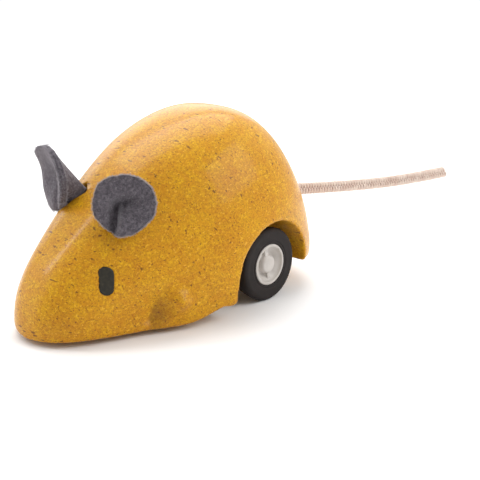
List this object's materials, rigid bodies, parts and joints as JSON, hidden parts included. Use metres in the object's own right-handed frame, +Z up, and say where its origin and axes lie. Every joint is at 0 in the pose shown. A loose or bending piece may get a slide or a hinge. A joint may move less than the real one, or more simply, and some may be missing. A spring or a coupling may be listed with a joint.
{
  "type": "pull-back toy mouse",
  "caption": "Pull-back toy mouse of moulded composite wood with felt ears, an inlaid eye on each side, a braided cord tail and rubber-tyred rear wheels driven by a hidden spring motor.",
  "frame": {"origin": "on the ground under the middle of the body", "axes": "+X towards the nose, +Y to the mouse's left, +Z up"},
  "size_m": [0.1729, 0.0532, 0.0489],
  "materials": {
    "composite_wood": "satin stained",
    "eye_paint": "satin",
    "felt": "felt",
    "cotton_braid": "braided",
    "tyre_rubber": "matt",
    "white_plastic": "moulded",
    "case_plastic": "moulded",
    "gear_plastic": "moulded",
    "bracket_plastic": "moulded",
    "axle_steel": "drawn",
    "spring_steel": "blued",
    "screw_steel": "zinc plated"
  },
  "bodies": {
    "mouse": {"body_shell": "composite_wood", "left_eye": "eye_paint", "right_eye": "eye_paint", "left_ear": "felt", "right_ear": "felt", "tail_cord": "cotton_braid", "motor_case_left": "case_plastic", "motor_case_right": "case_plastic", "motor_case_screws": "screw_steel", "motor_mounting_screws": "screw_steel", "transfer_gear_pin": "axle_steel", "spring_arbor": "axle_steel", "front_axle_bracket": "bracket_plastic", "front_bracket_screws": "screw_steel"},
    "rear_axle": {"rear_axle": "axle_steel", "axle_pinion": "gear_plastic", "left_rear_hub": "white_plastic", "right_rear_hub": "white_plastic", "left_rear_tyre": "tyre_rubber", "right_rear_tyre": "tyre_rubber"},
    "transfer_gear": {"transfer_gear": "gear_plastic"},
    "spring_drum": {"spring_drum": "gear_plastic", "spring_drum_lid": "gear_plastic", "mainspring": "spring_steel"},
    "front_axle": {"front_axle": "axle_steel", "left_front_wheel": "white_plastic", "right_front_wheel": "white_plastic"}
  },
  "joints": [
    {"name": "rear_axle_spin", "type": "hinge", "parent": "mouse", "child": "rear_axle", "pos_m": [-0.0156, 0, 0.0097], "axis": [0, 1, 0], "continuous": true},
    {"name": "transfer_gear_spin", "type": "hinge", "parent": "mouse", "child": "transfer_gear", "pos_m": [-0.00917, 0, 0.01736], "axis": [0, 1, 0], "continuous": true},
    {"name": "spring_drum_spin", "type": "hinge", "parent": "mouse", "child": "spring_drum", "pos_m": [0.0037, 0, 0.01555], "axis": [0, 1, 0], "continuous": true},
    {"name": "front_axle_spin", "type": "hinge", "parent": "mouse", "child": "front_axle", "pos_m": [0.0245, 0, 0.005], "axis": [0, 1, 0], "continuous": true}
  ],
  "couplings": [
    {"joint": "transfer_gear_spin", "follows": "rear_axle_spin", "ratio": -0.42857},
    {"joint": "spring_drum_spin", "follows": "rear_axle_spin", "ratio": 0.12857}
  ]
}
